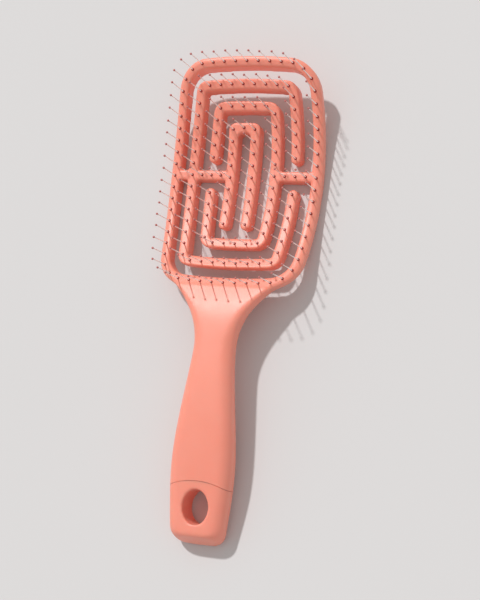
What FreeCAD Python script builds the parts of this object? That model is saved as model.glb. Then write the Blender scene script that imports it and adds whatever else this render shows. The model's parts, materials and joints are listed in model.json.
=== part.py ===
"""Vented detangling brush: a moulded head and handle, flexing coil arms, pins and an end cap.

The moulding frame has +Y from the handle to the top of the head and +Z along the pins, with the
middle of the head's front face at the origin. The finished pieces are then laid on the brush's
back, so that the belly of the head and the heel of the handle both touch z = 0.
"""
import FreeCAD
import Part
import math
import os

Vector = FreeCAD.Vector

# Head rim, measured on the centre line of its rib
rim_half_width = 37.1
rim_half_length = 55.2
rim_side_radius = 335.0
rim_end_radius = 270.0
rim_corner_radius = 14.0

# Ribs of the rim and of the coil
rib_width = 5.2
rib_depth = 7.0
ring_corner_radius = 3.7
coil_to_left = 0.9
core_to_left = 1.8
core_ring = 3
core_half_pitch = 5.7
core_side_room = 0.5
core_lower_reach = 25.0
core_outer_corner = 3.8
core_inner_corner = 2.0

# The head is bowed along its length, hollow on the side of the pins
bow_radius = 121.0
bow_y = 1.6

# Bridges from the rim to the coil, and the bending line of the arms
bridge_y = 0.5
knuckle_radius = 4.4
root_gap = 0.25
free_end_gap = 9.0

# Edges
rim_outer_edge = 1.7
rib_edge = 0.8

# Neck and handle
neck_radius = 33.7
waist_width = 19.8
waist_depth = 12.0
waist_rise = 15.3
mid_width = 26.4
mid_depth = 14.0
mid_rise = 16.4
grip_width = 31.0
grip_depth = 15.0
grip_rise = 14.6
end_width = 26.6
end_depth = 13.6
end_rise = 13.0
waist_to_mid = 32.0
mid_to_grip = 30.0
grip_to_end = 31.0
neck_round = 2.2
handle_round = 5.6
waist_slope = 0.1
neck_steps = 4
grip_steps = 8
corner_facets = 3

# End cap
end_slant = 22.0
end_edge = 2.6
seam_radius = 34.4
seam_from_end = 28.3
spigot_width = 14.0
spigot_depth = 6.0
spigot_length = 8.0
spigot_clearance = 0.1
hang_width = 13.2
hang_length = 16.8
hang_from_end = 16.1

# Pins
pin_sides = 4
pin_root = 0.6
pin_foot_radius = 0.6
pin_neck_radius = 0.38
pin_ball_radius = 0.66
pin_crown_radius = 0.3
pin_length = 15.8
pin_clearance = 0.03
pin_pitch = 5.93

# Rings of the coil: name, ring, above or below the bridges, side of the free end
ring_arms = (("left_upper", 1, 1, 1), ("left_lower", 1, -1, 1),
             ("right_upper", 2, 1, -1), ("right_lower", 2, -1, -1))

# Steps that settle the tilt of the brush on its back
tilt_rounds = 4

# Reach of the tools that cut through the whole head
through_below = 40.0
through_above = 60.0
wide = 120.0

# Places along an edge that are tried, and how near counts as on a face
edge_shares = (0.1, 0.5, 0.9)
touching = 0.01


def polar(centre, radius, angle):
    """Return the plan point at a radius and an angle round a centre."""
    return Vector(centre.x + radius * math.cos(angle), centre.y + radius * math.sin(angle), 0)


def heading(start, end):
    """Return the plan angle of the line from one point to another."""
    return math.atan2(end.y - start.y, end.x - start.x)


def arc(centre, radius, first, last):
    """Return the plan arc round a centre between two angles."""
    ends = (first, 0.5 * (first + last), last)
    return Part.Arc(*[polar(centre, radius, angle) for angle in ends]).toShape()


def corner_centre(inset, corner):
    """Return the centre of the upper right corner of the oval at an inset."""
    side = Vector(rim_half_width - rim_side_radius, 0, 0)
    end = Vector(0, rim_half_length - rim_end_radius, 0)
    side_reach = rim_side_radius - inset - corner
    end_reach = rim_end_radius - inset - corner
    apart = side.distanceToPoint(end)
    along = (side_reach ** 2 - end_reach ** 2 + apart ** 2) / (2 * apart)
    across = math.sqrt(side_reach ** 2 - along ** 2)
    line = (end - side) / apart
    left = Vector(-line.y, line.x, 0)
    points = [side + line * along + left * across, side + line * along - left * across]
    return max(points, key=lambda point: point.x + point.y)


def oval(inset, corner):
    """Return the head's oval at an inset from the rim's centre line, as a closed wire."""
    side = Vector(rim_half_width - rim_side_radius, 0, 0)
    end = Vector(0, rim_half_length - rim_end_radius, 0)
    centre = corner_centre(inset, corner)
    rise = heading(side, centre)
    lean = heading(end, centre)
    quarter = arc(centre, corner, rise, lean)
    right = arc(side, rim_side_radius - inset, -rise, rise)
    top = arc(end, rim_end_radius - inset, lean, math.pi - lean)
    upper = [quarter, top, quarter.mirror(Vector(), Vector(1, 0, 0))]
    lower = [edge.mirror(Vector(), Vector(0, 1, 0)) for edge in upper]
    sides = [right, right.mirror(Vector(), Vector(1, 0, 0))]
    return Part.Wire(Part.__sortEdges__(upper + lower + sides))


def prism(wire):
    """Return the upright prism of a plan outline, through the whole head."""
    face = Part.Face(wire)
    face.translate(Vector(0, 0, -through_below))
    return face.extrude(Vector(0, 0, through_above + through_below))


def ring_prism(inset, corner):
    """Return the upright prism of a rib that follows the oval at an inset."""
    half = rib_width / 2
    return prism(oval(inset - half, corner + half)).cut(prism(oval(inset + half, corner - half)))


def block(low, high):
    """Return the box between two corners."""
    size = high - low
    return Part.makeBox(size.x, size.y, size.z, low)


def knuckle(radius, left, right):
    """Return a round bar along X on the bending line."""
    start = Vector(left, bridge_y, bend_z)
    return Part.makeCylinder(radius, right - left, start, Vector(1, 0, 0))


def post(x, y, radius):
    """Return an upright round post through the head."""
    return Part.makeCylinder(radius, through_above + through_below, Vector(x, y, -through_below))


bow_axis = Vector(-wide, bow_y, bow_radius)
bend_z = bow_radius - math.sqrt((bow_radius + rib_depth / 2) ** 2 - (bridge_y - bow_y) ** 2)


def front_z(y):
    """Return the height of the head's front face."""
    return bow_radius - math.sqrt(bow_radius ** 2 - (y - bow_y) ** 2)


def back_z(y):
    """Return the height of the head's back face."""
    return bow_radius - math.sqrt((bow_radius + rib_depth) ** 2 - (y - bow_y) ** 2)


def bowed_plate():
    """Return the bowed plate that every rib of the head is cut from."""
    along = Vector(1, 0, 0)
    outer = Part.makeCylinder(bow_radius + rib_depth, 2 * wide, bow_axis, along)
    return outer.cut(Part.makeCylinder(bow_radius, 2 * wide, bow_axis, along))


def on_face(edge, radius):
    """Tell whether an edge runs along the bowed face of a radius."""
    first, last = edge.ParameterRange
    points = [edge.valueAt(first + share * (last - first)) for share in edge_shares]
    return all(abs(math.hypot(p.y - bow_y, p.z - bow_radius) - radius) < touching for p in points)


def at_root(edge):
    """Tell whether an edge belongs to a seam at the bending line."""
    first, last = edge.ParameterRange
    middle = edge.valueAt(0.5 * (first + last))
    reach = math.hypot(middle.y - bridge_y, middle.z - bend_z)
    return reach < knuckle_radius + 2 * root_gap


def eased(shape, edges):
    """Return a rib with those of the given edges eased that bound its front."""
    return shape.makeChamfer(rib_edge, [edge for edge in edges if on_face(edge, bow_radius)])


plate = bowed_plate()
half_rib = rib_width / 2
ring_pitch = (rim_half_width - core_half_pitch - core_side_room) / core_ring


def limb_x(ring, y):
    """Return how far a limb of a ring stands from the middle of the coil at a height."""
    reach = rim_side_radius - ring * ring_pitch
    return rim_half_width - rim_side_radius + math.sqrt(reach ** 2 - y ** 2)


def ring_corner(ring):
    """Return the corner radius of a ring's centre line."""
    return max(rim_corner_radius - ring * ring_pitch, ring_corner_radius)


def half_plane(side, y):
    """Return the space above (side 1) or below (side -1) a line across the head."""
    low = y if side > 0 else y - 2 * wide
    return block(Vector(-wide, low, -through_below), Vector(wide, low + 2 * wide, through_above))


def bridge(left, right):
    """Return a straight bar across the head at the bending line, as wide as a rib."""
    low = Vector(left, bridge_y - half_rib, -through_below)
    return block(low, Vector(right, bridge_y + half_rib, through_above)).common(plate)


def towards_bridge(ring, x_side, y_side, y):
    """Return the space of one limb that lies from a height towards the bridge, cut square to the limb."""
    reach = rim_side_radius - ring * ring_pitch
    swing = Vector(rim_half_width - rim_side_radius, 0, 0)
    space = block(Vector(0, -wide, -through_below), Vector(wide, 0, through_above))
    space.rotate(swing, Vector(0, 0, 1), math.degrees(math.asin(y_side * y / reach)))
    if x_side < 0:
        space = space.mirror(Vector(), Vector(1, 0, 0))
    if y_side < 0:
        space = space.mirror(Vector(), Vector(0, 1, 0))
    return space


def ring_arm(ring, y_side, free_side):
    """Return one arm of a ring: rooted at its bridge, with a round free end on the other limb."""
    free_y = bridge_y + y_side * free_end_gap
    free_x = free_side * limb_x(ring, free_y)
    arm = ring_prism(ring * ring_pitch, ring_corner(ring)).common(half_plane(y_side, bridge_y))
    arm = arm.cut(towards_bridge(ring, free_side, y_side, free_y))
    arm = arm.fuse(post(free_x, free_y, half_rib))
    arm.translate(Vector(-coil_to_left, 0, 0))
    arm = arm.common(plate).cut(knuckle(knuckle_radius + root_gap, -wide / 2, wide / 2))
    arm = arm.removeSplitter().Solids[0]
    return eased(arm, [edge for edge in arm.Edges if not at_root(edge)])


def arm_path(ring, y_side, free_side):
    """Return the line of the pins on one arm of a ring, from its root to its free end."""
    root_y = bridge_y + y_side * pin_pitch
    free_y = bridge_y + y_side * free_end_gap
    line = oval(ring * ring_pitch, ring_corner(ring)).common(half_plane(y_side, bridge_y))
    line = line.cut(towards_bridge(ring, -free_side, y_side, root_y))
    line = line.cut(towards_bridge(ring, free_side, y_side, free_y))
    line.translate(Vector(-coil_to_left, 0, 0))
    return Part.Wire(Part.__sortEdges__(line.Edges))


def rounded_prism(half, low, high, corner):
    """Return an upright prism with a rounded upper end, about the middle of the core."""
    lower = block(Vector(-half, low, -through_below), Vector(half, high - corner, through_above))
    inner = half - corner
    upper = block(Vector(-inner, low, -through_below), Vector(inner, high, through_above))
    shape = lower.fuse([upper, post(-inner, high - corner, corner), post(inner, high - corner, corner)])
    return shape.removeSplitter()


core_top = rim_half_length - core_ring * ring_pitch
core_low = bridge_y - core_lower_reach
knuckle_right = -coil_to_left - limb_x(1, bridge_y) + half_rib
knuckle_left = limb_x(2, bridge_y) - half_rib - coil_to_left


def core_arm():
    """Return the core: an arch of two limbs on a bar that twists at the left bridge."""
    outer = rounded_prism(core_half_pitch + half_rib, core_low, core_top + half_rib, core_outer_corner)
    inner = rounded_prism(core_half_pitch - half_rib, core_low - rib_width, core_top - half_rib,
                          core_inner_corner)
    ends = [post(side * core_half_pitch, core_low, half_rib) for side in (-1, 1)]
    arch = outer.cut(inner).fuse(ends)
    arch.translate(Vector(-core_to_left, 0, 0))
    bar = bridge(knuckle_right + root_gap, -core_to_left - core_half_pitch)
    core = arch.fuse(bar).common(plate).removeSplitter().Solids[0]
    return eased(core, core.Edges)


def core_path():
    """Return the line of the pins on the arch of the core."""
    corner = core_outer_corner - half_rib
    left = -core_half_pitch
    right = core_half_pitch
    turn = core_top - corner
    edges = [
        Part.LineSegment(Vector(left, core_low, 0), Vector(left, turn, 0)).toShape(),
        arc(Vector(left + corner, turn, 0), corner, math.pi, math.pi / 2),
        Part.LineSegment(Vector(left + corner, core_top, 0), Vector(right - corner, core_top, 0)).toShape(),
        arc(Vector(right - corner, turn, 0), corner, math.pi / 2, 0),
        Part.LineSegment(Vector(right, turn, 0), Vector(right, core_low, 0)).toShape(),
    ]
    line = Part.Wire(edges)
    line.translate(Vector(-core_to_left, 0, 0))
    return line


rim_corner = corner_centre(0, rim_corner_radius)
rim_outer_corner = rim_corner_radius + half_rib
corner_low = Vector(rim_corner.x, -rim_corner.y, 0)
neck_x = waist_width / 2 + neck_radius
neck_drop = math.sqrt((rim_outer_corner + neck_radius) ** 2 - (neck_x - rim_corner.x) ** 2)
neck_centre = Vector(neck_x, -rim_corner.y - neck_drop, 0)
neck_y = -rim_half_length - half_rib
waist_y = neck_centre.y
mid_y = waist_y - waist_to_mid
grip_y = mid_y - mid_to_grip
end_y = grip_y - grip_to_end


def neck_half_width(y):
    """Return half the width of the neck at a height."""
    return neck_centre.x - math.sqrt(neck_radius ** 2 - (y - neck_centre.y) ** 2)


def neck_web():
    """Return the plan of the web where the neck flares into the rim."""
    start = heading(neck_centre, corner_low)
    tip = polar(neck_centre, neck_radius, start)
    stop = math.pi - math.asin((neck_y - neck_centre.y) / neck_radius)
    right = arc(neck_centre, neck_radius, start, stop)
    left = right.mirror(Vector(), Vector(1, 0, 0))
    half = neck_half_width(neck_y)
    foot = Part.LineSegment(Vector(half, neck_y, 0), Vector(-half, neck_y, 0)).toShape()
    top = Part.LineSegment(Vector(-tip.x, tip.y, 0), tip).toShape()
    return Part.Wire(Part.__sortEdges__([right, foot, left, top]))


def on_bow(edge):
    """Tell whether an edge bounds the front or the back of the head."""
    return on_face(edge, bow_radius) or on_face(edge, bow_radius + rib_depth)


def head():
    """Return the rim of the head with its bridges and the root of the neck."""
    blank = prism(oval(-half_rib, rim_outer_corner)).fuse(prism(neck_web())).removeSplitter()
    blank = blank.common(plate).Solids[0]
    outside = [edge for edge in blank.Edges if on_bow(edge) and edge.CenterOfMass.y > neck_y + touching]
    blank = blank.makeChamfer(rim_outer_edge, outside)
    rim = blank.cut(prism(oval(half_rib, rim_corner_radius - half_rib)))
    window = Part.Face(oval(0, rim_corner_radius))
    inside = []
    for edge in rim.Edges:
        start = edge.valueAt(edge.FirstParameter)
        if on_face(edge, bow_radius) and window.isInside(Vector(start.x, start.y, 0), half_rib / 2, False):
            inside.append(edge)
    rim = rim.makeChamfer(rib_edge, inside)
    for low, high, root in ((-rim_half_width, knuckle_right, knuckle_right - rib_width),
                            (knuckle_left, rim_half_width, knuckle_left)):
        bar = bridge(low, high).Solids[0]
        sides = [edge for edge in bar.Edges if abs(edge.Vertexes[0].Y - edge.Vertexes[1].Y) < touching]
        joint = knuckle(knuckle_radius, root, root + rib_width).common(plate).Solids[0]
        ends = [edge for edge in joint.Edges if abs(edge.Vertexes[0].X - edge.Vertexes[1].X) < touching]
        rim = rim.fuse([eased(bar, sides), eased(joint, ends)])
    return rim.removeSplitter()


def blend(share, start, start_slope, stop, stop_slope, span):
    """Return a height on the smooth curve that joins two heights with given slopes."""
    rest = 1 - share
    ease = share * share * (3 - 2 * share)
    swing = share * rest * span * (rest * start_slope - share * stop_slope)
    return start + ease * (stop - start) + swing


def section(y, half, low, high, corner):
    """Return a section of the neck or handle, square to its length, with faceted round corners."""
    inner = half - corner
    centres = ((inner, low + corner), (inner, high - corner),
               (-inner, high - corner), (-inner, low + corner))
    points = []
    for quarter, (x, z) in enumerate(centres):
        for facet in range(corner_facets + 1):
            angle = (quarter - 1 + facet / corner_facets) * math.pi / 2
            points.append(Vector(x + corner * math.cos(angle), y, z + corner * math.sin(angle)))
    return Part.makePolygon(points + points[:1])


def neck_section(share):
    """Return a section of the neck, from the rim (share 0) to the waist (share 1)."""
    span = neck_y - waist_y
    y = neck_y - share * span
    half_depth = waist_depth / 2
    front_slope = (bow_y - neck_y) / (bow_radius - front_z(neck_y))
    back_slope = (bow_y - neck_y) / (bow_radius - back_z(neck_y))
    high = blend(share, front_z(neck_y), front_slope, waist_rise + half_depth, waist_slope, span)
    low = blend(share, back_z(neck_y), back_slope, waist_rise - half_depth, 0, span)
    corner = neck_round + share * (handle_round - neck_round)
    return section(y, neck_half_width(y), low, high, corner)


def grip_sections():
    """Return the sections of the handle, from the waist to past the end of the cap."""
    overrun = end_y - end_depth * math.tan(math.radians(end_slant))
    stations = ((waist_y, waist_width, waist_depth, waist_rise), (mid_y, mid_width, mid_depth, mid_rise),
                (grip_y, grip_width, grip_depth, grip_rise), (end_y, end_width, end_depth, end_rise),
                (overrun, end_width, end_depth, end_rise))
    fronts = Part.BSplineCurve()
    fronts.interpolate([Vector(width / 2, y, rise + depth / 2) for y, width, depth, rise in stations])
    backs = Part.BSplineCurve()
    backs.interpolate([Vector(width / 2, y, rise - depth / 2) for y, width, depth, rise in stations])
    sections = []
    for step in range(grip_steps + 1):
        y = waist_y + (overrun - waist_y) * step / grip_steps
        level = Part.Plane(Vector(0, y, 0), Vector(0, 1, 0))
        front = fronts.intersect(level)[0][0]
        back = backs.intersect(level)[0][0]
        sections.append(section(y, front.X, back.Z, front.Z, handle_round))
    return sections


def handle_blank():
    """Return the neck and handle as one skin, run on past the end of the cap."""
    neck = [neck_section(step / neck_steps) for step in range(neck_steps)]
    return Part.makeLoft(neck + grip_sections(), True, True)


seam_top = end_y + seam_from_end
hang_y = end_y + hang_from_end


def beyond_end():
    """Return the space past the slanted end of the handle."""
    space = block(Vector(-wide, -wide, -wide), Vector(wide, 0, wide))
    space.rotate(Vector(), Vector(1, 0, 0), -end_slant)
    space.translate(Vector(0, end_y, end_rise))
    return space


def spigot(clearance):
    """Return the tongue of the cap, or with a clearance the socket that it fills."""
    half = spigot_width / 2 + clearance
    depth = spigot_depth / 2 + clearance
    low = Vector(-half, seam_top - spigot_length, grip_rise - depth)
    return block(low, Vector(half, seam_top + spigot_length + clearance, grip_rise + depth))


def hang_slot():
    """Return the long round hole through the cap."""
    half = hang_width / 2
    reach = hang_length / 2 - half
    ends = [post(0, hang_y - reach, half), post(0, hang_y + reach, half)]
    low = Vector(-half, hang_y - reach, -through_below)
    middle = block(low, Vector(half, hang_y + reach, through_above))
    return middle.fuse(ends).removeSplitter()


def cap_space():
    """Return the space of the cap, below the curved seam."""
    return post(0, seam_top - seam_radius, seam_radius)


def end_cap(blank):
    """Return the end cap with its tongue, hang hole and eased end."""
    cap = blank.common(cap_space()).cut(beyond_end())
    rim = []
    for edge in cap.Edges:
        along = edge.CenterOfMass
        past = (along.y - end_y) * math.cos(math.radians(end_slant))
        past -= (along.z - end_rise) * math.sin(math.radians(end_slant))
        if abs(past) < touching:
            rim.append(edge)
    cap = cap.makeChamfer(end_edge, rim)
    return cap.fuse(spigot(0)).cut(hang_slot()).removeSplitter()


def brush_body(rim, blank):
    """Return the moulding of the rim, neck and handle, with a socket for the cap."""
    handle = blank.cut(cap_space()).cut(half_plane(-1, seam_top - seam_radius))
    return rim.fuse(handle).cut(spigot(spigot_clearance)).removeSplitter()


def pin_ring(radius, z):
    """Return the corners of a pin's section at a height."""
    step = 2 * math.pi / pin_sides
    return [Vector(radius * math.cos(step * i), radius * math.sin(step * i), z) for i in range(pin_sides)]


def pin(slope):
    """Return one pin that points up from the origin, with a ball-like tip and a foot cut to a slope."""
    shoulder = pin_length - 2 * pin_ball_radius
    rings = [pin_ring(pin_foot_radius, -pin_root), pin_ring(pin_neck_radius, shoulder),
             pin_ring(pin_ball_radius, pin_length - pin_ball_radius), pin_ring(pin_crown_radius, pin_length)]
    faces = [Part.Face(Part.makePolygon(rings[0] + rings[0][:1])),
             Part.Face(Part.makePolygon(rings[-1] + rings[-1][:1]))]
    for low, high in zip(rings, rings[1:]):
        for i in range(pin_sides):
            j = (i + 1) % pin_sides
            faces.append(Part.Face(Part.makePolygon([low[i], low[j], high[j], high[i], low[i]])))
    rib = block(Vector(-pin_length, -pin_length, -pin_length), Vector(pin_length, pin_length, pin_clearance))
    rib.rotate(Vector(), Vector(1, 0, 0), math.degrees(slope))
    return Part.Solid(Part.Shell(faces)).cut(rib)


def spaced(line):
    """Return the pin places along an open line, evenly spaced from end to end."""
    return line.discretize(Number=round(line.Length / pin_pitch) + 1)


def rim_places():
    """Return the pin places round the rim and on the bridges."""
    right_half = block(Vector(0, -wide, -through_below), Vector(wide, wide, through_above))
    line = oval(0, rim_corner_radius).common(right_half)
    right = spaced(Part.Wire(Part.__sortEdges__(line.Edges)))
    places = list(right)
    places += [Vector(-p.x, p.y, 0) for p in right[1:-1]]
    inner = limb_x(2, bridge_y) - coil_to_left
    count = round((rim_half_width - inner) / pin_pitch)
    places += [Vector(inner + i * (rim_half_width - inner) / count, bridge_y, 0) for i in range(count)]
    places.append(Vector(-coil_to_left - limb_x(1, bridge_y), bridge_y, 0))
    return places


def core_places():
    """Return the pin places on the arch and bar of the core."""
    root = knuckle_right + half_rib
    limb = -core_to_left - core_half_pitch
    count = round((limb - root) / pin_pitch)
    bar = [Vector(root + i * (limb - root) / count, bridge_y, 0) for i in range(count)]
    return spaced(core_path()) + bar


def pins(places):
    """Return the pins that stand on the bowed face of the head at the given places."""
    solids = []
    for place in places:
        solid = pin(math.asin((place.y - bow_y) / bow_radius)).Solids[0]
        solid.translate(Vector(place.x, place.y, front_z(place.y)))
        solids.append(solid)
    return Part.makeCompound(solids)


def moulding():
    """Return every piece by name, in the moulding frame."""
    blank = handle_blank()
    shapes = {"brush_body": brush_body(head(), blank), "end_cap": end_cap(blank), "core_arm": core_arm(),
              "rim_pins": pins(rim_places()), "core_pins": pins(core_places())}
    for name, ring, y_side, free_side in ring_arms:
        shapes[name + "_arm"] = ring_arm(ring, y_side, free_side)
        shapes[name + "_pins"] = pins(spaced(arm_path(ring, y_side, free_side)))
    return shapes


def resting_tilt(cap):
    """Return the angle that brings the heel of the handle level with the belly of the head."""
    pivot = Vector(0, bow_y, bow_radius)
    belly = -rib_depth
    tilt = 0.0
    for _ in range(tilt_rounds):
        turned = cap.copy()
        turned.rotate(pivot, Vector(1, 0, 0), tilt)
        box = turned.optimalBoundingBox()
        tilt += math.degrees(math.atan2(box.ZMin - belly, bow_y - box.YMin))
    return tilt


def resting_place(shapes):
    """Return the placement that lays the brush on its back, with the origin under its middle."""
    pivot = Vector(0, bow_y, bow_radius)
    turn = FreeCAD.Rotation(Vector(1, 0, 0), resting_tilt(shapes["end_cap"]))
    laid = FreeCAD.Placement(Vector(), turn, pivot)
    whole = Part.makeCompound(list(shapes.values()))
    whole.Placement = laid
    box = whole.optimalBoundingBox()
    middle = Vector(0, -box.Center.y, -box.ZMin)
    return FreeCAD.Placement(middle, FreeCAD.Rotation()).multiply(laid)


def main():
    """Write each piece of the brush, laid on its back."""
    os.makedirs("parts", exist_ok=True)
    shapes = moulding()
    laid = resting_place(shapes)
    for name, shape in shapes.items():
        shape.Placement = laid
        shape.exportStep("parts/" + name + ".step")


if __name__ == "__main__":
    main()
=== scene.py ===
"""Looks of a vented detangling brush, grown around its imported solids.

The head, its springy arms, the neck and the handle are joined from the solids, grown into one rounded
moulding, and parted again at the roots of the arms and at the seam of the end cap. The pins are turned
once and copied to their places. Everything is in metres, with the brush lying on its back, pins up.
"""
import json
import math
import random

import bmesh
import bpy
import numpy as np
from mathutils import Euler, Matrix, Vector
from mathutils.bvhtree import BVHTree

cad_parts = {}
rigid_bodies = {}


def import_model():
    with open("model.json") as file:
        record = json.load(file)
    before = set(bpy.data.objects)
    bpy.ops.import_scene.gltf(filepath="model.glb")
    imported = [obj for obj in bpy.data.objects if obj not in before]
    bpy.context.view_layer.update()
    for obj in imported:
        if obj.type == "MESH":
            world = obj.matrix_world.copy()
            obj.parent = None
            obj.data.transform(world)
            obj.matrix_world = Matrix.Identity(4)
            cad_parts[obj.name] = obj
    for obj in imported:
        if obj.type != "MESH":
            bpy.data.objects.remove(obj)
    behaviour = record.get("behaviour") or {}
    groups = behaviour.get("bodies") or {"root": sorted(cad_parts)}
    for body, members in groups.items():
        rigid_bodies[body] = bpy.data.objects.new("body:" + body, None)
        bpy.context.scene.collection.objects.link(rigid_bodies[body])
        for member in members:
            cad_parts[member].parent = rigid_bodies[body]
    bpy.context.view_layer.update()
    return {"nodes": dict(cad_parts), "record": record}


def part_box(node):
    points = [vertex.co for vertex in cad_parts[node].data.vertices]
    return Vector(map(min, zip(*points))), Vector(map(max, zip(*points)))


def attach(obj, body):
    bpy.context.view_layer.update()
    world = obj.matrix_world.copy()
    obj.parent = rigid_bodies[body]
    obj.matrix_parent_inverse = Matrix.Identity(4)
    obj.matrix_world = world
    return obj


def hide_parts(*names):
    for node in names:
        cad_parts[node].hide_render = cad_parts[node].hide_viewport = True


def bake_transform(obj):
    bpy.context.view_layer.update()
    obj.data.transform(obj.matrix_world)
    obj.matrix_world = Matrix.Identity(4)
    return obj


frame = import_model()

bl_info = {
    "name": "Vented Detangling Brush",
    "version": (1, 0, 0),
    "blender": (4, 5, 0),
    "location": "View3D > Sidebar > Brush",
    "description": "Builds the moulding, end cap, pins and studio of a vented detangling brush",
    "category": "Object",
}

mounts = {mount["name"]: mount for mount in frame["record"]["mounts"]}
hang = Vector(mounts["hang_hole"]["pos_m"])
upright = Vector(mounts["hang_hole"]["axis"]).normalized()
along = Vector((0, upright.z, -upright.y))
across = Vector((1, 0, 0))
bend = Vector(frame["record"]["behaviour"]["joints"][0]["pos_m"])

MILLIMETRE = 0.001
MERGE = 1e-6
ARMS = {"left_upper": 1, "left_lower": -1, "right_upper": 1, "right_lower": -1}
PIN_SETS = {"rim_pins": "body", "core_pins": "core", "left_upper_pins": "left_upper",
            "left_lower_pins": "left_lower", "right_upper_pins": "right_upper",
            "right_lower_pins": "right_lower"}

# Sections that the grip is laid through
SECTION_STEP = MILLIMETRE
SECTION_OVERRUN = 12 * MILLIMETRE
SECTION_SPREAD = 6
SECTION_POINTS = 96
CORNER_STEPS = 8
FACE_STEP = 2 * MILLIMETRE
CORNER_LIMIT = 0.49
HEAD_TUCK = 0.3 * MILLIMETRE
END_INSET = 0.1 * MILLIMETRE
HOLE_SIDES = 66
HOLE_DEPTH = 0.06

# Smoothing of the grown skin
SMOOTH_FACTOR = 0.5
SMOOTH_ANGLE = math.radians(40)
GRIP_LEVELS = 10
GRIP_FADE = 14 * MILLIMETRE
GRIP_OVERLAP = 7 * MILLIMETRE

# Roots of the arms and of the core
ROOT_RUN_ON = MILLIMETRE
ROOT_STEPS = 4
ROOT_ZONE = 5 * MILLIMETRE
CUT_SLACK = 1.5 * MILLIMETRE
CORE_END_SLACK = 0.1 * MILLIMETRE
CORE_RUN_ON = 3 * MILLIMETRE
CORE_ROOT = 0.5 * MILLIMETRE

# Moulded plastic: scale and detail of its noises, and what they drive
NOISES = {"cloud": (38.0, 3.0), "gloss": (170.0, 4.0), "grain": (1500.0, 2.0)}
CLOUD_RANGE = (-0.3, 1.1)
ROUGHNESS_RANGE = (0.37, 0.45)
GRAIN_STRENGTH = 0.35
MOULDING_GRAIN = 0.02 * MILLIMETRE
PIN_GRAIN = 0.01 * MILLIMETRE
GLOW_DEPTH = 1.5 * MILLIMETRE
RED_BLEED = (1, 0.3, 0.2)

# Pins and their seats, rings of painted shade round their feet
PIN_SEED = 7
PIN_CORNERS = 4
CROWN_SLACK = 0.01 * MILLIMETRE
TAPER_SHARE = 0.3
UNDER_BALL = 0.92
TIP_START = 0.95
BALL_ANGLES = (-35, 0, 35, 65)
SEAT_SIDES = 10
SEAT_SUNK = 0.3 * MILLIMETRE
SEAT_HEIGHT = 0.34 * MILLIMETRE
SEAT_LIP = 0.12 * MILLIMETRE
SEAT_DOME = 0.03 * MILLIMETRE

# Floor and camera
FLOOR_NOISE = 3.0
FLOOR_DIP = 0.985
FLOOR_ROUGHNESS = 0.85
FLOOR_SHEEN = 0.15
CAMERA_NEAR = 0.01


class MouldingSizes(bpy.types.PropertyGroup):
    """Sizes of the moulding and its end cap."""

    grain: bpy.props.FloatProperty(
        name="Skin grid", description="Grid that the moulding is grown on",
        default=0.00045, min=0.0003, unit="LENGTH", precision=5)
    edge_passes: bpy.props.IntProperty(
        name="Edge passes", description="How often every edge of the moulding is rubbed round", default=3)
    grip_passes: bpy.props.IntProperty(
        name="Grip passes", description="How often the neck, grip and cap are rubbed smooth", default=24)
    neck_rise: bpy.props.FloatProperty(
        name="Neck rise", description="From the hang hole to the foot of the head",
        default=0.1042, unit="LENGTH")
    neck_blend: bpy.props.FloatProperty(
        name="Neck blend", description="Length over which the neck passes into the grip",
        default=0.0273, unit="LENGTH")
    neck_round: bpy.props.FloatProperty(
        name="Neck rounding", description="Corner radius where the neck leaves the head",
        default=0.0022, unit="LENGTH")
    grip_round: bpy.props.FloatProperty(
        name="Grip rounding", description="Corner radius of the grip", default=0.0056, unit="LENGTH")
    crown: bpy.props.FloatProperty(
        name="Crown", description="How far the grip's faces fall away towards their edges",
        default=0.0007, unit="LENGTH")
    seam_rise: bpy.props.FloatProperty(
        name="Seam rise", description="From the hang hole to the top of the cap's curved seam",
        default=0.0122, unit="LENGTH")
    seam_radius: bpy.props.FloatProperty(
        name="Seam radius", description="Radius of the cap's curved seam", default=0.0344, unit="LENGTH")
    seam_start: bpy.props.FloatProperty(
        name="Seam start", description="Below this the grip is flattened whole to cut the seam",
        default=0.03, unit="LENGTH")
    seam_top: bpy.props.FloatProperty(
        name="Seam top", description="Above this the grip stays as it is while the seam is cut",
        default=0.07, unit="LENGTH")
    seam_gap: bpy.props.FloatProperty(
        name="Seam gap", description="Width of the shadow line at the seam",
        default=0.0002, unit="LENGTH", precision=5)
    end_corner: bpy.props.FloatProperty(
        name="End corner", description="Corner radius of the cap's end, seen from the front",
        default=0.0052, unit="LENGTH")
    end_edge: bpy.props.FloatProperty(
        name="End edge", description="Radius of the cap's end on the side of the pins",
        default=0.0014, unit="LENGTH")
    end_heel: bpy.props.FloatProperty(
        name="End heel", description="Radius of the cap's end on the side of the table",
        default=0.0040, unit="LENGTH")
    hole_room: bpy.props.FloatProperty(
        name="Hole room", description="What rounding its edges adds to the mouth of the hang hole",
        default=0.0002, unit="LENGTH", precision=5)
    bow_radius: bpy.props.FloatProperty(
        name="Bow radius", description="Radius of the head's hollow front", default=0.121, unit="LENGTH")
    rib_depth: bpy.props.FloatProperty(
        name="Rib depth", description="Thickness of the head", default=0.007, unit="LENGTH")
    belly: bpy.props.FloatProperty(
        name="Belly", description="Where along the brush the head touches the table",
        default=0.053945, unit="LENGTH", precision=6)
    root_reach: bpy.props.FloatProperty(
        name="Root reach", description="From the bending line to where an arm begins",
        default=0.0047, unit="LENGTH")
    bend_length: bpy.props.FloatProperty(
        name="Bend length", description="Length of arm that takes up the bend",
        default=0.0045, unit="LENGTH")


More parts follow.
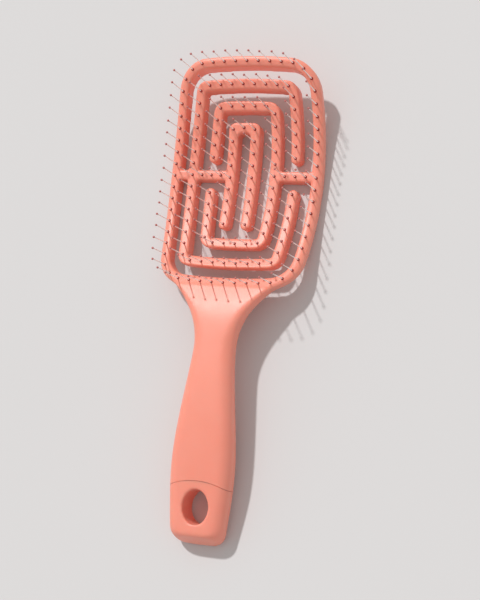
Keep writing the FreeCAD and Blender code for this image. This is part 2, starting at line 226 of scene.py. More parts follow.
class PinSizes(bpy.types.PropertyGroup):
    """Sizes of the pins."""

    sides: bpy.props.IntProperty(name="Sides", description="Sides of a pin's section", default=8)
    foot_depth: bpy.props.FloatProperty(
        name="Foot depth", description="How deep a pin stands in its rib", default=0.0014, unit="LENGTH")
    foot_radius: bpy.props.FloatProperty(
        name="Foot radius", description="Radius of a pin where it leaves the rib",
        default=0.00032, unit="LENGTH", precision=5)
    neck_radius: bpy.props.FloatProperty(
        name="Neck radius", description="Radius of a pin under its ball",
        default=0.0002, unit="LENGTH", precision=5)
    ball_radius: bpy.props.FloatProperty(
        name="Ball radius", description="Radius of the ball at the tip",
        default=0.0006, unit="LENGTH", precision=5)
    # The seat is a ring of painted shade: a dark ring that stands for the shade in the hollow round a pin's
    # foot.
    seat_radius: bpy.props.FloatProperty(
        name="Seat radius", description="Radius of the seat round a pin's foot",
        default=0.00078, unit="LENGTH", precision=5)
    # The collar is the foot of a pin, coloured with the same painted shade as the seats.
    shade_collar: bpy.props.FloatProperty(
        name="Collar", description="Height of the red collar at a pin's foot",
        default=0.0006, unit="LENGTH", precision=5)
    lean: bpy.props.FloatProperty(
        name="Lean", description="How far a pin may lean from its neighbours",
        default=math.radians(1.0), subtype="ANGLE")


class BrushFinish(bpy.types.PropertyGroup):
    """Colours of the brush, and the painted shade round the feet of the pins."""

    coral: bpy.props.FloatVectorProperty(
        name="Coral", description="Colour of the moulding", subtype="COLOR", size=3,
        default=(0.955, 0.335, 0.245), min=0, max=1)
    coral_deep: bpy.props.FloatVectorProperty(
        name="Deep coral", description="Colour of the moulding where the pigment lies thicker",
        subtype="COLOR", size=3, default=(0.915, 0.292, 0.205), min=0, max=1)
    pin_coral: bpy.props.FloatVectorProperty(
        name="Pin coral", description="Colour of the pins", subtype="COLOR", size=3,
        default=(0.98, 0.84, 0.79), min=0, max=1)
    tip_red: bpy.props.FloatVectorProperty(
        name="Tip red", description="Colour of the balls at the tips", subtype="COLOR", size=3,
        default=(0.60, 0.18, 0.16), min=0, max=1)
    # Painted shade: this dark red stands for the shade in the hollows round the pins' feet.
    seat_painted_shade: bpy.props.FloatVectorProperty(
        name="Seat painted shade", description="Colour in the seats of the pins", subtype="COLOR", size=3,
        default=(0.42, 0.055, 0.05), min=0, max=1)


class StudioSettings(bpy.types.PropertyGroup):
    """Floor, light and camera."""

    floor: bpy.props.FloatVectorProperty(
        name="Floor", description="Colour of the floor", subtype="COLOR", size=3,
        default=(0.69, 0.678, 0.676), min=0, max=1)
    floor_size: bpy.props.FloatProperty(
        name="Floor size", description="Side of the floor", default=6.0, unit="LENGTH")
    key_strength: bpy.props.FloatProperty(name="Key", description="Strength of the key light", default=2.1)
    key_spread: bpy.props.FloatProperty(
        name="Key spread", description="Angle that the key light fills in the sky",
        default=math.radians(3.0), subtype="ANGLE")
    key_from: bpy.props.FloatVectorProperty(
        name="Key from", description="Direction that the key light comes from", size=3,
        default=(-0.46, 0.722, 1.057), subtype="XYZ")
    fill_strength: bpy.props.FloatProperty(name="Fill", description="Strength of the soft fill", default=0.54)
    fill: bpy.props.FloatVectorProperty(
        name="Fill colour", description="Colour of the soft fill", subtype="COLOR", size=3,
        default=(1.0, 0.985, 0.975), min=0, max=1)
    camera_place: bpy.props.FloatVectorProperty(
        name="Camera place", description="Where the camera stands", size=3,
        default=(0.2297, -0.12254, 0.59503), subtype="TRANSLATION", unit="LENGTH", precision=5)
    camera_right: bpy.props.FloatVectorProperty(
        name="Camera right", description="Direction of the picture's right side", size=3,
        default=(0.935635, 0.125563, -0.329881), subtype="XYZ")
    camera_back: bpy.props.FloatVectorProperty(
        name="Camera back", description="Direction from the picture to the camera", size=3,
        default=(0.349051, -0.190280, 0.917582), subtype="XYZ")
    lens: bpy.props.FloatProperty(name="Lens", description="Focal length in millimetres", default=79.64)


def pick(*objects):
    """Select only these objects, and make the first one active."""
    bpy.ops.object.select_all(action="DESELECT")
    for item in objects:
        item.select_set(True)
    bpy.context.view_layer.objects.active = objects[0]


def edit(item, mode="FACE"):
    """Open an object for editing, with nothing selected."""
    pick(item)
    bpy.ops.object.mode_set(mode="EDIT")
    bpy.ops.mesh.select_mode(type=mode)
    bpy.ops.mesh.select_all(action="DESELECT")
    return bmesh.from_edit_mesh(item.data)


def close():
    """Leave edit mode."""
    bpy.ops.object.mode_set(mode="OBJECT")


def choose(item, mesh, elements):
    """Select some elements of the mesh that is being edited."""
    for element in elements:
        element.select_set(True)
    mesh.select_flush_mode()
    bmesh.update_edit_mesh(item.data)


def points(mesh):
    """Return the vertices of a mesh as an array."""
    flat = np.empty(3 * len(mesh.vertices), np.float32)
    mesh.vertices.foreach_get("co", flat)
    return flat.reshape(-1, 3).astype(float)


def set_points(mesh, places):
    """Move the vertices of a mesh."""
    mesh.vertices.foreach_set("co", np.asarray(places, np.float32).ravel())
    mesh.update()


def brush_axes():
    """Return the directions across, along and up from the brush, as the rows of an array."""
    return np.array([across, along, upright])


def to_brush(places):
    """Return places measured across, along and up from the hang hole."""
    return (np.asarray(places) - np.array(hang)) @ brush_axes().T


def from_brush(places):
    """Return the places in the frame of places that are measured from the hang hole."""
    return np.asarray(places) @ brush_axes() + np.array(hang)


def on_brush(x, distance, height):
    """Return the point at a place measured from the hang hole."""
    return hang + across * x + along * distance + upright * height


def node_copy(node, name):
    """Return a merged copy of a solid of the frame, under a name of its own."""
    copy = bpy.data.objects.new(name, frame["nodes"][node].data.copy())
    bpy.context.scene.collection.objects.link(copy)
    copy.data.materials.clear()
    edit(copy, "VERT")
    bpy.ops.mesh.select_all(action="SELECT")
    bpy.ops.mesh.remove_doubles(threshold=MERGE)
    close()
    return copy


def finish_modifier(item, kind, **settings):
    """Add a modifier to an object, set it up and apply it."""
    modifier = item.modifiers.new(kind.lower(), kind)
    for setting, value in settings.items():
        setattr(modifier, setting, value)
    pick(item)
    bpy.ops.object.modifier_apply(modifier=modifier.name)


def cut(item, place, normal, keep_front, fill):
    """Cut a whole object with a plane and keep one side of it."""
    edit(item)
    bpy.ops.mesh.select_all(action="SELECT")
    bpy.ops.mesh.bisect(plane_co=place, plane_no=normal, use_fill=fill, clear_inner=keep_front,
                        clear_outer=not keep_front, threshold=MERGE)
    close()


def corner_triangles(*nodes):
    """Return the triangles of some solids, measured from the hang hole."""
    found = []
    for node in nodes:
        mesh = frame["nodes"][node].data
        mesh.calc_loop_triangles()
        index = np.empty(3 * len(mesh.loop_triangles), np.int32)
        mesh.loop_triangles.foreach_get("vertices", index)
        found.append(to_brush(points(mesh))[index].reshape(-1, 3, 3))
    return np.concatenate(found)


def slice_size(triangles, distance):
    """Return half the width, the lowest and the highest point of a slice square to the handle."""
    cuts = []
    for first, second in ((0, 1), (1, 2), (2, 0)):
        start = triangles[:, first]
        stop = triangles[:, second]
        before = start[:, 1] - distance
        after = stop[:, 1] - distance
        crossing = before * after < 0
        share = before[crossing] / (before[crossing] - after[crossing])
        cuts.append(start[crossing] + share[:, None] * (stop[crossing] - start[crossing]))
    ring = np.concatenate(cuts)
    return abs(ring[:, 0]).max(), ring[:, 2].min(), ring[:, 2].max()


def soften(values, spread):
    """Return a row of evenly spaced values, smoothed without moving its ends."""
    reach = 3 * spread
    before = 2 * values[0] - values[reach:0:-1]
    after = 2 * values[-1] - values[-2:-reach - 2:-1]
    weights = np.exp(-0.5 * (np.arange(-reach, reach + 1) / spread) ** 2)
    return np.convolve(np.concatenate([before, values, after]), weights / weights.sum(), "valid")


def ring_points(half, low, high, corner, crown, steps):
    """Return a section of the grip: a rectangle with round corners and gently crowned faces."""
    corners = ((half - corner, high - corner, 0), (corner - half, high - corner, 1),
               (corner - half, low + corner, 2), (half - corner, low + corner, 3))
    ring = []
    for x, z, quarter in corners:
        for step in range(steps + 1):
            angle = (quarter + step / steps) * math.pi / 2
            ring.append((x + corner * math.cos(angle), z + corner * math.sin(angle)))
    fine = []
    for start, stop in zip(ring, ring[1:] + ring[:1]):
        pieces = max(1, round(math.dist(start, stop) / FACE_STEP)) if start[1] == stop[1] else 1
        for piece in range(pieces):
            share = piece / pieces
            fine.append((start[0] + share * (stop[0] - start[0]), start[1] + share * (stop[1] - start[1])))
    middle = 0.5 * (low + high)
    return [(x, middle + (z - middle) * (1 - crown * (x / half) ** 2 / (high - middle))) for x, z in fine]


def pared(distance, radius):
    """Return how far a round edge has drawn in, at a distance from the end of the piece."""
    share = 1 - np.clip(distance / radius, 0, 1)
    return radius * (1 - np.sqrt(1 - share ** 2))


def round_end(ring, half, low, high, sizes):
    """Return a section of the grip, drawn in where it comes near the slanted end."""
    end = to_brush([mounts["end_face"]["pos_m"]])[0]
    axis = brush_axes() @ np.array(mounts["end_face"]["axis"])
    slant = axis[2] / axis[1]
    distance = ring[:, 1] - end[1] + (ring[:, 2] - end[2]) * slant
    middle = 0.5 * (low + high)
    depth = high - middle
    drawn = ring.copy()
    drawn[:, 0] *= (half - pared(distance, sizes.end_corner)) / half
    radius = np.where(ring[:, 2] > middle, sizes.end_edge, sizes.end_heel)
    drawn[:, 2] = middle + (ring[:, 2] - middle) * (depth - pared(distance, radius)) / depth
    drawn[:, 1] -= (drawn[:, 2] - ring[:, 2]) * slant
    return drawn


def grip_skin(sizes):
    """Return the neck, grip and cap as one closed skin, with its hang hole and slanted end."""
    triangles = corner_triangles("brush_body", "end_cap")
    end = to_brush([mounts["end_face"]["pos_m"]])[0, 1]
    stations = np.arange(sizes.neck_rise - MERGE, end + SECTION_OVERRUN, -SECTION_STEP)
    measured = np.array([slice_size(triangles, station) for station in stations])
    halves, lows, highs = (soften(column, SECTION_SPREAD) for column in measured.T)
    extra = np.arange(1, round(2 * SECTION_OVERRUN / SECTION_STEP) + 1)
    stations = np.concatenate([stations, stations[-1] - SECTION_STEP * extra])
    halves, lows, highs = (np.concatenate([row, row[-1] + 0.5 * (row[-1] - row[-3]) * extra])
                           for row in (halves, lows, highs))
    rows = []
    for station, half, low, high in zip(stations, halves, lows, highs):
        share = min(1.0, (sizes.neck_rise - station) / sizes.neck_blend)
        corner = sizes.neck_round + share * (sizes.grip_round - sizes.neck_round)
        corner = min(corner, CORNER_LIMIT * (high - low))
        rows.append((station, half, low, high, corner, share * sizes.crown))
    station, half, low, high, corner, _ = rows[0]
    rows.insert(0, (station + SECTION_STEP, half - HEAD_TUCK, low + HEAD_TUCK, high - HEAD_TUCK, corner, 0.0))
    rings = []
    for station, half, low, high, corner, crown in rows:
        ring = np.array(ring_points(half, low, high, corner, crown, CORNER_STEPS))
        loop = np.concatenate([ring, ring[:1]])
        length = np.concatenate([[0], np.cumsum(np.hypot(*np.diff(loop, axis=0).T))])
        even = np.linspace(0, length[-1], SECTION_POINTS + 1)
        x = np.interp(even, length, loop[:, 0])
        z = np.interp(even, length, loop[:, 1])
        ring = np.stack([x, np.full(SECTION_POINTS + 1, station), z], axis=1)
        rings.append(round_end(ring, half, low, high, sizes))
    bpy.ops.object.select_all(action="DESELECT")
    bpy.ops.mesh.primitive_grid_add(x_subdivisions=SECTION_POINTS, y_subdivisions=len(rings) - 1)
    skin = bpy.context.object
    skin.name = "grip_skin"
    set_points(skin.data, from_brush(np.concatenate(rings)))
    edit(skin, "VERT")
    bpy.ops.mesh.select_all(action="SELECT")
    bpy.ops.mesh.remove_doubles(threshold=MERGE)
    bpy.ops.mesh.fill_holes(sides=0)
    bpy.ops.mesh.normals_make_consistent(inside=False)
    close()
    outward = Vector(mounts["end_face"]["axis"])
    end_place = Vector(mounts["end_face"]["pos_m"]) - outward * END_INSET
    cut(skin, end_place, outward, keep_front=False, fill=True)
    finish_modifier(skin, "BOOLEAN", operation="DIFFERENCE", solver="EXACT", object=hang_cutter(sizes))
    bpy.data.objects.remove(bpy.data.objects["hang_cutter"])
    return skin


def hang_cutter(sizes):
    """Return the oval prism that cuts the hang hole."""
    dims = mounts["hang_hole"]["dims"]
    radius = dims["hole_r_mm"] * MILLIMETRE - sizes.hole_room
    reach = 0.5 * dims["slot_length_mm"] * MILLIMETRE - sizes.hole_room
    bpy.ops.object.select_all(action="DESELECT")
    bpy.ops.mesh.primitive_cylinder_add(vertices=HOLE_SIDES, radius=radius, depth=HOLE_DEPTH)
    cutter = bpy.context.object
    cutter.name = "hang_cutter"
    set_points(cutter.data, from_brush(points(cutter.data) * (1, reach / radius, 1)))
    return cutter


def head_copy(sizes):
    """Return a copy of the head, cut off where the neck begins."""
    copy = node_copy("brush_body", "head")
    cut(copy, on_brush(0, sizes.neck_rise, 0), along, keep_front=True, fill=True)
    return copy


def arm_copy(arm, side, sizes):
    """Return a copy of an arm whose root is run on along the bow to the bending line."""
    copy = node_copy(arm + "_arm", arm + "_blank")
    reach = sizes.root_reach + ROOT_RUN_ON
    cut(copy, bend + along * side * reach, along * side, keep_front=True, fill=False)
    centre = (0, sizes.belly, sizes.bow_radius + sizes.rib_depth)
    mesh = edit(copy, "EDGE")
    choose(copy, mesh, [edge for edge in mesh.edges if edge.is_boundary])
    bpy.ops.mesh.spin(steps=ROOT_STEPS, angle=side * reach / sizes.bow_radius, center=centre, axis=across)
    bpy.ops.mesh.select_all(action="SELECT")
    bpy.ops.mesh.fill_holes(sides=0)
    bpy.ops.mesh.normals_make_consistent(inside=False)
    close()
    return copy


def core_copy():
    """Return a copy of the core whose bar is run on into the left bridge."""
    copy = node_copy("core_arm", "core_blank")
    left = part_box("core_arm")[0][0]
    mesh = edit(copy, "VERT")
    choose(copy, mesh, [vert for vert in mesh.verts if vert.co.x < left + CORE_END_SLACK])
    bpy.ops.transform.translate(value=(-CORE_RUN_ON, 0, 0))
    close()
    return copy


def grown_moulding(sizes):
    """Return the whole moulding as one rounded skin."""
    blanks = [head_copy(sizes), grip_skin(sizes), core_copy()]
    blanks += [arm_copy(arm, side, sizes) for arm, side in ARMS.items()]
    pick(*blanks)
    bpy.ops.object.join()
    moulding = bpy.context.object
    moulding.name = "moulding"
    finish_modifier(moulding, "REMESH", mode="VOXEL", voxel_size=sizes.grain)
    finish_modifier(moulding, "SMOOTH", factor=SMOOTH_FACTOR, iterations=sizes.edge_passes)
    distance = to_brush(points(moulding.data))[:, 1]
    share = np.clip((sizes.neck_rise + GRIP_OVERLAP - distance) / GRIP_FADE, 0, 1)
    group = moulding.vertex_groups.new(name="grip")
    level = np.round(share * GRIP_LEVELS).astype(int)
    for value in range(1, GRIP_LEVELS + 1):
        group.add(np.flatnonzero(level == value).tolist(), value / GRIP_LEVELS, "REPLACE")
    finish_modifier(moulding, "SMOOTH", factor=SMOOTH_FACTOR, iterations=sizes.grip_passes,
                    vertex_group="grip")
    moulding.vertex_groups.clear()
    return moulding


def seam_drop(places, sizes):
    """Return how far the curved seam lies below its top, beside each place."""
    x = np.clip(places[:, 0], -sizes.seam_radius, sizes.seam_radius)
    return sizes.seam_radius - np.sqrt(sizes.seam_radius ** 2 - x ** 2)


def flatten_seam(item, sizes):
    """Shift the lower grip along itself, less and less up to the waist, until the curved seam is flat."""
    places = to_brush(points(item.data))
    fade = np.clip((sizes.seam_top - places[:, 1]) / (sizes.seam_top - sizes.seam_start), 0, 1)
    places[:, 1] += fade * seam_drop(places, sizes)
    set_points(item.data, from_brush(places))


def curve_seam(item, sizes):
    """Undo the shift of a flattened seam."""
    places = to_brush(points(item.data))
    drop = seam_drop(places, sizes)
    share = drop / (sizes.seam_top - sizes.seam_start)
    faded = (places[:, 1] - share * sizes.seam_top) / (1 - share)
    below = places[:, 1] < sizes.seam_start + drop
    inside = (places[:, 1] < sizes.seam_top) & ~below
    places[inside, 1] = faded[inside]
    places[below, 1] -= drop[below]
    set_points(item.data, from_brush(places))


def split_cap(moulding, sizes):
    """Part the end cap from the moulding along its curved seam, and return it."""
    cap = bpy.data.objects.new("grip_end_cap", moulding.data.copy())
    bpy.context.scene.collection.objects.link(cap)
    for item, side in ((moulding, 1), (cap, -1)):
        flatten_seam(item, sizes)
        seam = on_brush(0, sizes.seam_rise + side * 0.5 * sizes.seam_gap, 0)
        cut(item, seam, along, keep_front=side > 0, fill=True)
        curve_seam(item, sizes)
    return cap


def root_span(arm):
    """Return the left and right side of an arm's root."""
    places = points(frame["nodes"][arm + "_arm"].data)
    near = places[abs((places - np.array(bend)) @ np.array(along)) < ROOT_ZONE]
    return near[:, 0].min(), near[:, 0].max()


def core_root():
    """Return where across the brush the core begins."""
    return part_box("core_arm")[0][0] + CORE_ROOT


def cut_roots(moulding, sizes):
    """Cut a line round the root of every arm, without parting it."""
    planes = []
    for arm, side in ARMS.items():
        left, right = root_span(arm)
        low = Vector((left - CUT_SLACK, -2 * CUT_SLACK, 0))
        high = Vector((right + CUT_SLACK, 2 * CUT_SLACK, 0))
        middle = bend + along * side * sizes.root_reach
        planes.append((middle, along, low, high, middle.y))
    place = Vector((core_root(), bend.y, bend.z))
    low = Vector((place.x - CUT_SLACK, -3 * CUT_SLACK, 0))
    high = Vector((place.x + CUT_SLACK, 3 * CUT_SLACK, 0))
    planes.append((place, across, low, high, place.y))
    for place, normal, low, high, y in planes:
        mesh = edit(moulding)
        inside = []
        for face in mesh.faces:
            middle = face.calc_center_median()
            if low.x < middle.x < high.x and low.y < middle.y - y < high.y:
                inside.append(face)
        choose(moulding, mesh, inside)
        bpy.ops.mesh.bisect(plane_co=place, plane_no=normal, threshold=MERGE)
        close()


def face_owners(moulding, sizes):
    """Return which arm each face of the moulding belongs to: 0 for the body, then the arms and the core."""
    owners = np.zeros(len(moulding.data.polygons), np.int32)
    names = ["brush_body"] + [arm + "_arm" for arm in ARMS] + ["core_arm"]
    trees = []
    for name in names:
        mesh = frame["nodes"][name].data
        corners = [vertex.co for vertex in mesh.vertices]
        trees.append(BVHTree.FromPolygons(corners, [polygon.vertices for polygon in mesh.polygons]))
    sides = [0] + list(ARMS.values()) + [0]
    core = len(names) - 1
    root = core_root()
    for polygon in moulding.data.polygons:
        middle = polygon.center
        if (middle - hang).dot(along) < sizes.neck_rise:
            continue
        distances = [tree.find_nearest(middle)[3] for tree in trees]
        owner = distances.index(min(distances))
        rise = (middle - bend).dot(along)
        before_root = sides[owner] and sides[owner] * rise < sizes.root_reach
        in_bar = owner == core and abs(rise) < sizes.root_reach and middle.x <= root
        owners[polygon.index] = 0 if before_root or in_bar else owner
    return owners


def part_arms(moulding, sizes):
    """Part the arms and the core from the moulding and return them by body."""
    cut_roots(moulding, sizes)
    owners = face_owners(moulding, sizes)
    moulding.data.attributes.new("owner", "INT", "FACE").data.foreach_set("value", owners)
    arms = {}
    for number, arm in enumerate(list(ARMS) + ["core"], start=1):
        mesh = edit(moulding)
        layer = mesh.faces.layers.int["owner"]
        choose(moulding, mesh, [face for face in mesh.faces if face[layer] == number])
        before = set(bpy.data.objects)
        bpy.ops.mesh.separate(type="SELECTED")
        close()
        arms[arm] = (set(bpy.data.objects) - before).pop()
        arms[arm].name = arm + "_rib"
    for item in [moulding] + list(arms.values()):
        item.data.attributes.remove(item.data.attributes["owner"])
        edit(item)
        bpy.ops.mesh.select_all(action="SELECT")
        bpy.ops.mesh.fill_holes(sides=0)
        close()
    return arms


def polish(item, material):
    """Shade a finished piece and give it its material and slot."""
    pick(item)
    bpy.ops.object.shade_smooth_by_angle(angle=SMOOTH_ANGLE)
    item.data.materials.clear()
    item.data.materials.append(material)


def group_socket(group, name, way, kind):
    """Add a socket to a node group."""
    return group.interface.new_socket(name=name, in_out=way, socket_type=kind)


def ranged(nodes, links, value, low, high):
    """Return the output of a node that maps a value from 0 to 1 onto a range."""
    node = nodes.new("ShaderNodeMapRange")
    node.inputs["To Min"].default_value = low
    node.inputs["To Max"].default_value = high
    links.new(value, node.inputs["Value"])
    return node.outputs["Result"]


def moulded_skin():
    """Return the node group of moulded plastic: clouded colour, uneven gloss and a fine grain."""
    name = "moulded_skin"
    if name in bpy.data.node_groups:
        return bpy.data.node_groups[name]
    group = bpy.data.node_groups.new(name, "ShaderNodeTree")
    group_socket(group, "Colour", "INPUT", "NodeSocketColor")
    group_socket(group, "Deep colour", "INPUT", "NodeSocketColor")
    group_socket(group, "Colour", "OUTPUT", "NodeSocketColor")
    group_socket(group, "Roughness", "OUTPUT", "NodeSocketFloat")
    group_socket(group, "Height", "OUTPUT", "NodeSocketFloat")
    nodes = group.nodes
    links = group.links
    source = nodes.new("NodeGroupInput")
    target = nodes.new("NodeGroupOutput")
    place = nodes.new("ShaderNodeTexCoord").outputs["Object"]
    noises = {}
    for label, (scale, detail) in NOISES.items():
        noise = nodes.new("ShaderNodeTexNoise")
        noise.label = label
        noise.inputs["Scale"].default_value = scale
        noise.inputs["Detail"].default_value = detail
        links.new(place, noise.inputs["Vector"])
        noises[label] = noise.outputs["Fac"]
    mix = nodes.new("ShaderNodeMix")
    mix.data_type = "RGBA"
    links.new(ranged(nodes, links, noises["cloud"], *CLOUD_RANGE), mix.inputs["Factor"])
    colour_in = [socket for socket in mix.inputs if socket.type == "RGBA"]
    links.new(source.outputs["Colour"], colour_in[0])
    links.new(source.outputs["Deep colour"], colour_in[1])
    colour_out = next(socket for socket in mix.outputs if socket.type == "RGBA")
    links.new(colour_out, target.inputs["Colour"])
    links.new(ranged(nodes, links, noises["gloss"], *ROUGHNESS_RANGE), target.inputs["Roughness"])
    links.new(noises["grain"], target.inputs["Height"])
    return group


def plastic(name, colour, deep, grain, sheen=0.3, glow=0.0, bleed=(1, 1, 1)):
    """Return a moulded plastic of two near colours, with a grain of a given depth, a sheen and a glow."""
    material = bpy.data.materials.new(name)
    material.use_nodes = True
    nodes = material.node_tree.nodes
    links = material.node_tree.links
    shader = nodes["Principled BSDF"]
    skin = nodes.new("ShaderNodeGroup")
    skin.node_tree = moulded_skin()
    skin.inputs["Colour"].default_value = (*colour, 1)
    skin.inputs["Deep colour"].default_value = (*deep, 1)
    bump = nodes.new("ShaderNodeBump")
    bump.inputs["Strength"].default_value = GRAIN_STRENGTH
    bump.inputs["Distance"].default_value = grain
    links.new(skin.outputs["Colour"], shader.inputs["Base Color"])
    links.new(skin.outputs["Roughness"], shader.inputs["Roughness"])
    links.new(skin.outputs["Height"], bump.inputs["Height"])
    links.new(bump.outputs["Normal"], shader.inputs["Normal"])
    shader.inputs["Specular IOR Level"].default_value = sheen
    shader.inputs["Subsurface Weight"].default_value = glow
    shader.inputs["Subsurface Radius"].default_value = bleed
    shader.inputs["Subsurface Scale"].default_value = GLOW_DEPTH
    return material


class HAIRBRUSH_OT_moulding(bpy.types.Operator):
    """Grow the head, neck, grip and end cap, and part them at their arms and seam"""

    bl_idname = "hairbrush.moulding"
    bl_label = "Moulding and End Cap"

    def execute(self, context):
        sizes = context.scene.hairbrush_moulding
        finish = context.scene.hairbrush_finish
        coral = plastic("coral_moulding", finish.coral, finish.coral_deep, MOULDING_GRAIN,
                        sheen=0.5, glow=0.3, bleed=RED_BLEED)
        moulding = grown_moulding(sizes)
        cap = split_cap(moulding, sizes)
        arms = part_arms(moulding, sizes)
        moulding.name = "head_and_grip"
        polish(moulding, coral)
        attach(moulding, "body")
        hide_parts("brush_body")
        polish(cap, coral)
        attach(cap, "body")
        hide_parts("end_cap")
        for arm, item in arms.items():
            polish(item, coral)
            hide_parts(arm + "_arm")
        for arm, side in ARMS.items():
            left, right = root_span(arm)
            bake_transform(arms[arm])
        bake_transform(arms["core"])
        return {"FINISHED"}


def islands(mesh):
    """Return the places of the vertices of each loose part of a merged mesh."""
    build = bmesh.new()
    build.from_mesh(mesh)
    seen = set()
    parts = []
    for seed in build.verts:
        if seed in seen:
            continue
        seen.add(seed)
        found = [seed]
        for vert in found:
            for edge in vert.link_edges:
                other = edge.other_vert(vert)
                if other not in seen:
                    seen.add(other)
                    found.append(other)
        parts.append(np.array([vert.co for vert in found]))
    build.free()
    return parts


def pin_places(node):
    """Return the foot and the length of each pin of a set, in a settled order."""
    copy = node_copy(node, "pin_blank")
    places = []
    for part in islands(copy.data):
        heights = part @ np.array(upright)
        crown = part[heights > heights.max() - CROWN_SLACK].mean(axis=0)
        foot = np.sort(heights)[:PIN_CORNERS].mean()
        length = heights.max() - foot
        places.append((*np.round(crown - np.array(upright) * length, 6), round(length, 6)))
    bpy.data.objects.remove(copy)
    return sorted(places)


def open_disc(sides, radius, height):
    """Return a flat disc at a height above the origin, open for editing with its face selected."""
    bpy.ops.object.select_all(action="DESELECT")
    bpy.ops.mesh.primitive_circle_add(vertices=sides, radius=radius, fill_type="NGON",
                                      location=(0, 0, height))
    disc = bpy.context.object
    bpy.ops.object.transform_apply(location=True, rotation=False, scale=False)
    bpy.ops.object.mode_set(mode="EDIT")
    bpy.ops.mesh.select_mode(type="FACE")
    bpy.ops.mesh.select_all(action="SELECT")
    return disc


def turned_pin(sizes, length, materials):
    """Return one pin that stands on the origin, turned from a round bar, with a ball on its tip and a foot of
    painted shade.
    """
    ball = sizes.ball_radius
    middle = length - ball
    halfway = 0.5 * (sizes.foot_radius + sizes.neck_radius)
    profile = [(0.0, sizes.foot_radius), (sizes.shade_collar, sizes.foot_radius), (TAPER_SHARE * length, halfway),
               (middle - UNDER_BALL * ball, sizes.neck_radius)]
    for angle in map(math.radians, BALL_ANGLES):
        profile.append((middle + ball * math.sin(angle), ball * math.cos(angle)))
    pin = open_disc(sizes.sides, sizes.foot_radius, -sizes.foot_depth)
    height = -sizes.foot_depth
    radius = sizes.foot_radius
    for rise, reach in profile:
        bpy.ops.mesh.extrude_region_move(TRANSFORM_OT_translate={"value": (0, 0, rise - height)})
        share = reach / radius
        bpy.ops.transform.resize(value=(share, share, 1), center_override=(0, 0, rise))
        height = rise
        radius = reach
    bpy.ops.mesh.select_all(action="SELECT")
    bpy.ops.mesh.normals_make_consistent(inside=False)
    close()
    for material in materials:
        pin.data.materials.append(material)
    for polygon in pin.data.polygons:
        if polygon.center.z > middle - TIP_START * ball:
            polygon.material_index = 1
        # The foot up to the collar takes the seat's painted shade.
        elif polygon.center.z < sizes.shade_collar:
            polygon.material_index = 2
        polygon.use_smooth = True
    return pin


def painted_shade_ring(sizes, materials):
    """Return the low dark ring round the origin, painted shade that stands for the hollow a pin stands in."""
    ring = open_disc(SEAT_SIDES, sizes.seat_radius, -SEAT_SUNK)
    bpy.ops.mesh.extrude_region_move(TRANSFORM_OT_translate={"value": (0, 0, SEAT_HEIGHT)})
    bpy.ops.mesh.inset(thickness=SEAT_LIP, depth=SEAT_DOME)
    bpy.ops.mesh.select_all(action="SELECT")
    bpy.ops.mesh.normals_make_consistent(inside=False)
    close()
    for material in materials:
        ring.data.materials.append(material)
    # Every face of the ring takes the painted shade.
    for polygon in ring.data.polygons:
        polygon.material_index = 2
    return ring


def pin_plastics(finish):
    """Return the plastics of a pin's shaft and of its ball, and the painted shade of its seat and foot."""
    shaft = np.array(finish.pin_coral)
    tip = np.array(finish.tip_red)
    seat = np.array(finish.seat_painted_shade)
    # The third plastic is painted shade for the seats and feet of the pins.
    return [plastic("pin_coral", shaft, 0.9 * shaft, PIN_GRAIN, glow=0.9),
            plastic("pin_tip_red", tip, 0.7 * tip, PIN_GRAIN, sheen=0.8),
            plastic("pin_seat_painted_shade", seat, 0.7 * seat, PIN_GRAIN, sheen=0.1)]


class HAIRBRUSH_OT_pins(bpy.types.Operator):
    """Turn one pin and its ring of painted shade, and set copies of them on the head"""

    bl_idname = "hairbrush.pins"
    bl_label = "Pins"

    def execute(self, context):
        sizes = context.scene.hairbrush_pins
        moulding = context.scene.hairbrush_moulding
        materials = pin_plastics(context.scene.hairbrush_finish)
        chance = random.Random(PIN_SEED)
        places = {node: pin_places(node) for node in PIN_SETS}
        length = places["rim_pins"][0][3]
        pin = turned_pin(sizes, length, materials)
        # The seat is a dark ring of painted shade.
        seat = painted_shade_ring(sizes, materials)
        bow = Vector((0, moulding.belly, moulding.bow_radius + moulding.rib_depth))
        for node, body in PIN_SETS.items():
            copies = []
            for x, y, z, _ in places[node]:
                foot = Vector((x, y, z))
                lean = Euler((chance.uniform(-1, 1) * sizes.lean, chance.uniform(-1, 1) * sizes.lean,
                              chance.uniform(0, 2 * math.pi))).to_matrix()
                tilt = upright.to_track_quat("Z", "Y").to_matrix()
                inward = Vector((0, bow.y - y, bow.z - z)).to_track_quat("Z", "Y").to_matrix()
                for item, turn in ((pin, tilt @ lean), (seat, inward)):
                    copy = bpy.data.objects.new(node + "_copy", item.data.copy())
                    copy.data.transform(Matrix.Translation(foot) @ turn.to_4x4())
                    context.scene.collection.objects.link(copy)
                    copies.append(copy)
            pick(*copies)
            bpy.ops.object.join()
            piece = context.object
            piece.name = node.replace("_pins", "_ball_pins")
            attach(piece, body)
            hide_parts(node)
        bpy.data.objects.remove(pin)
        bpy.data.objects.remove(seat)
        return {"FINISHED"}


def painted_floor(studio):
    """Return the matt paint of the floor, with the faintest unevenness."""
    material = bpy.data.materials.new("floor_paint")
    material.use_nodes = True
    nodes = material.node_tree.nodes
    links = material.node_tree.links
    shader = nodes["Principled BSDF"]
    noise = nodes.new("ShaderNodeTexNoise")
    noise.inputs["Scale"].default_value = FLOOR_NOISE
    links.new(nodes.new("ShaderNodeTexCoord").outputs["Object"], noise.inputs["Vector"])
    ramp = nodes.new("ShaderNodeValToRGB")
    ramp.color_ramp.elements[0].color = (*[FLOOR_DIP * value for value in studio.floor], 1)
    ramp.color_ramp.elements[1].color = (*studio.floor, 1)
    links.new(noise.outputs["Fac"], ramp.inputs["Fac"])
    links.new(ramp.outputs["Color"], shader.inputs["Base Color"])
    shader.inputs["Roughness"].default_value = FLOOR_ROUGHNESS
    shader.inputs["Specular IOR Level"].default_value = FLOOR_SHEEN
    return material


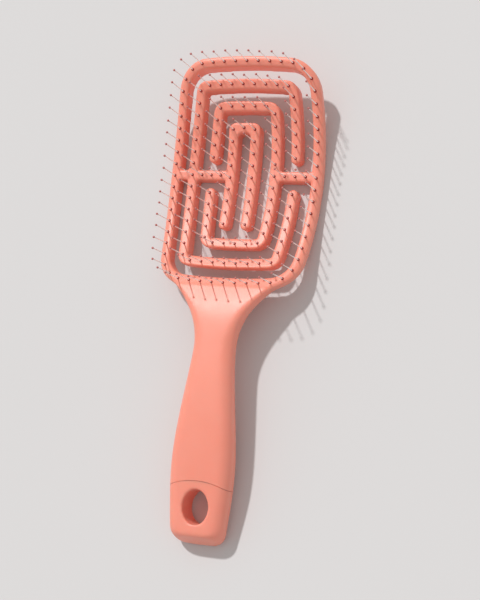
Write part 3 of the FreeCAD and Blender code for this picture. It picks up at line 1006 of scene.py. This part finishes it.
class HAIRBRUSH_OT_studio(bpy.types.Operator):
    """Set up the floor, the light and the camera"""

    bl_idname = "hairbrush.studio"
    bl_label = "Studio"

    def execute(self, context):
        studio = context.scene.hairbrush_studio
        bpy.ops.object.select_all(action="DESELECT")
        bpy.ops.mesh.primitive_plane_add(size=studio.floor_size)
        floor = context.object
        floor.name = "studio_floor"
        floor.data.materials.append(painted_floor(studio))
        world = bpy.data.worlds.new("soft_fill")
        world.use_nodes = True
        sky = world.node_tree.nodes["Background"]
        sky.inputs["Color"].default_value = (*studio.fill, 1)
        sky.inputs["Strength"].default_value = studio.fill_strength
        context.scene.world = world
        bpy.ops.object.light_add(type="SUN")
        key = context.object
        key.name = "key_light"
        key.data.energy = studio.key_strength
        key.data.angle = studio.key_spread
        key.rotation_euler = Vector(studio.key_from).to_track_quat("Z", "Y").to_euler()
        key.location = Vector(studio.key_from)
        right = Vector(studio.camera_right).normalized()
        back = Vector(studio.camera_back).normalized()
        turn = Matrix((right, back.cross(right), back)).transposed()
        bpy.ops.object.camera_add(location=studio.camera_place, rotation=turn.to_euler())
        camera = context.object
        camera.name = "camera"
        camera.data.lens = studio.lens
        camera.data.clip_start = CAMERA_NEAR
        context.scene.camera = camera
        context.scene.view_settings.view_transform = "Standard"
        return {"FINISHED"}


class HAIRBRUSH_PT_pieces(bpy.types.Panel):
    """Shows the settings of the brush and the buttons that build it"""

    bl_idname = "HAIRBRUSH_PT_pieces"
    bl_label = "Detangling Brush"
    bl_space_type = "VIEW_3D"
    bl_region_type = "UI"
    bl_category = "Brush"

    def draw(self, context):
        for settings in (context.scene.hairbrush_moulding, context.scene.hairbrush_pins,
                         context.scene.hairbrush_finish, context.scene.hairbrush_studio):
            box = self.layout.box()
            for name in settings.__annotations__:
                box.prop(settings, name)
        for operator in OPERATORS:
            self.layout.operator(operator.bl_idname)


OPERATORS = (HAIRBRUSH_OT_moulding, HAIRBRUSH_OT_pins, HAIRBRUSH_OT_studio)
GROUPS = {"hairbrush_moulding": MouldingSizes, "hairbrush_pins": PinSizes,
          "hairbrush_finish": BrushFinish, "hairbrush_studio": StudioSettings}


def register():
    """Register the classes and hang the settings on the scene."""
    for item in (*GROUPS.values(), *OPERATORS, HAIRBRUSH_PT_pieces):
        bpy.utils.register_class(item)
    for name, group in GROUPS.items():
        setattr(bpy.types.Scene, name, bpy.props.PointerProperty(type=group))


def unregister():
    """Take the settings off the scene and unregister the classes."""
    for name in GROUPS:
        delattr(bpy.types.Scene, name)
    for item in reversed((*GROUPS.values(), *OPERATORS, HAIRBRUSH_PT_pieces)):
        bpy.utils.unregister_class(item)


def main():
    """Build the brush and its studio."""
    register()
    bpy.ops.hairbrush.moulding()
    bpy.ops.hairbrush.pins()
    bpy.ops.hairbrush.studio()


if __name__ == "__main__":
    main()
